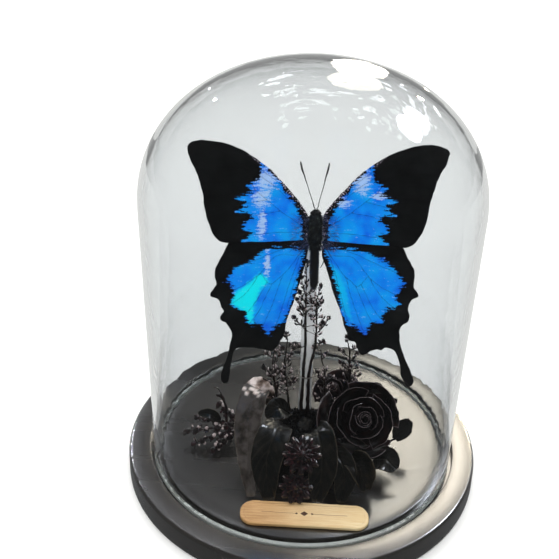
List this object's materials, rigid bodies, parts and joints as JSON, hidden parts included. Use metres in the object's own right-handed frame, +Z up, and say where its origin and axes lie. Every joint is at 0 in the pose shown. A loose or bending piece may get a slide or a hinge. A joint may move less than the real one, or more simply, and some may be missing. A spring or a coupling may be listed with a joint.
{
  "type": "insect in glass dome",
  "caption": "Mounted blue swallowtail butterfly on a clear rod above dark preserved flowers, under a lift-off glass dome on a round black wooden base with a blank wooden label.",
  "frame": {"origin": "centre of the base's underside, on the surface it stands on", "axes": "+Z up; the front, where the label lies and the butterfly's upper side faces, looks along -Y; +X to the right seen from the front"},
  "size_m": [0.1636, 0.1636, 0.1903],
  "materials": {
    "black_wood": "satin black lacquer over turned wood, soft broad reflections",
    "clear_glass": "clear blown glass, polished, faint grey-green at the rim",
    "pale_wood": "thin pale wood veneer, dry matt, fine long grain",
    "clear_acrylic": "clear polished acrylic rod",
    "steel_wire": "thin bare steel wire",
    "insect_body": "dry black insect cuticle with short dark fur and a green dust",
    "wing_scales": "scaled wing, velvet black margins and bright iridescent blue centre",
    "rose_petal": "glycerine-preserved black rose petal, waxy gloss, brown where light comes through",
    "dark_leaf": "preserved dark green-black leaf, waxy satin with pale veins",
    "dried_stem": "dry dark brown stem, matt with fine ridges",
    "dried_bud": "dry dark red-black bud or berry, waxy highlights",
    "dried_moss": "dark dried moss, matt and fibrous"
  },
  "bodies": {
    "root": {"base_board": "black_wood", "glass_dome": "clear_glass", "label_plaque": "pale_wood", "support_rod": "clear_acrylic", "wire_tie": "steel_wire", "butterfly_body": "insect_body", "antenna_left": "insect_body", "antenna_right": "insect_body", "forewing_left": "wing_scales", "forewing_right": "wing_scales", "hindwing_left": "wing_scales", "hindwing_right": "wing_scales", "rose_front_heart": "rose_petal", "rose_front_petal_01": "rose_petal", "rose_front_petal_02": "rose_petal", "rose_front_petal_03": "rose_petal", "rose_front_petal_04": "rose_petal", "rose_front_petal_05": "rose_petal", "rose_front_petal_06": "rose_petal", "rose_front_petal_07": "rose_petal", "rose_front_petal_08": "rose_petal", "rose_front_petal_09": "rose_petal", "rose_front_petal_10": "rose_petal", "rose_front_calyx": "dark_leaf", "rose_back_heart": "rose_petal", "rose_back_petal_01": "rose_petal", "rose_back_petal_02": "rose_petal", "rose_back_petal_03": "rose_petal", "rose_back_petal_04": "rose_petal", "rose_back_petal_05": "rose_petal", "rose_back_petal_06": "rose_petal", "rose_back_calyx": "dark_leaf", "moss_mound": "dried_moss", "spray_tall_left": "dried_stem", "spray_tall_right": "dried_stem", "spray_left_inner": "dried_stem", "spray_left_outer": "dried_stem", "spray_right_inner": "dried_stem", "spray_right_outer": "dried_stem", "seed_head_upper": "dried_bud", "seed_head_lower": "dried_bud", "berry_spray": "dried_bud", "curled_stem": "dried_stem", "leaf_left_drooping": "dark_leaf", "leaf_front_left": "dark_leaf", "leaf_front_middle": "dark_leaf", "leaf_front_right": "dark_leaf", "leaf_right_rolled": "dark_leaf", "leaf_right_dark": "dark_leaf", "leaf_right_round": "dark_leaf", "leaf_right_top": "dark_leaf", "leaf_right_small": "dark_leaf", "leaf_left_slender": "dark_leaf", "leaf_left_high": "dark_leaf"}
  },
  "joints": []
}
